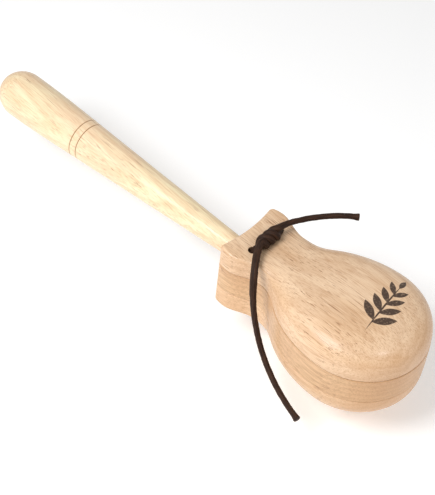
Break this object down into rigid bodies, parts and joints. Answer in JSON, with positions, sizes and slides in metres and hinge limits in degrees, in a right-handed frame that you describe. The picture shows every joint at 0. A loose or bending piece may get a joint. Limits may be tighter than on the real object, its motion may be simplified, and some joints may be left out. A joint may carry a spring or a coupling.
{
  "type": "handle castanets",
  "caption": "Hand percussion: domed wooden shells tied with a leather cord to both faces of a flat paddle on a long turned handle.",
  "frame": {"origin": "on the handle's axis, level with the corners of the ears, halfway through the paddle", "axes": "+X along the handle towards the round tip of the bowls, +Z square to the striking faces towards the knot, +Y across the bowls"},
  "size_m": [0.2593, 0.0804, 0.049],
  "materials": {
    "handle_wood": "satin clear lacquer",
    "paddle_wood": "satin clear lacquer",
    "shell_wood": "satin clear lacquer",
    "cord_leather": "matte round leather cord"
  },
  "bodies": {
    "grip_and_paddle": {"handle": "handle_wood", "paddle": "paddle_wood", "cord_middle": "cord_leather"},
    "upper_clapper": {"upper_shell": "shell_wood", "cord_knot": "cord_leather", "cord_tail_long": "cord_leather", "cord_tail_short": "cord_leather"},
    "lower_clapper": {"lower_shell": "shell_wood", "cord_underside": "cord_leather"}
  },
  "joints": [
    {"name": "upper_clapper_hinge", "type": "hinge", "parent": "grip_and_paddle", "child": "upper_clapper", "pos_m": [0, 0, 0.0069], "axis": [0, -1, 0], "range_deg": [0, 10]},
    {"name": "lower_clapper_hinge", "type": "hinge", "parent": "grip_and_paddle", "child": "lower_clapper", "pos_m": [0, 0, -0.0069], "axis": [0, 1, 0], "range_deg": [0, 10]}
  ]
}
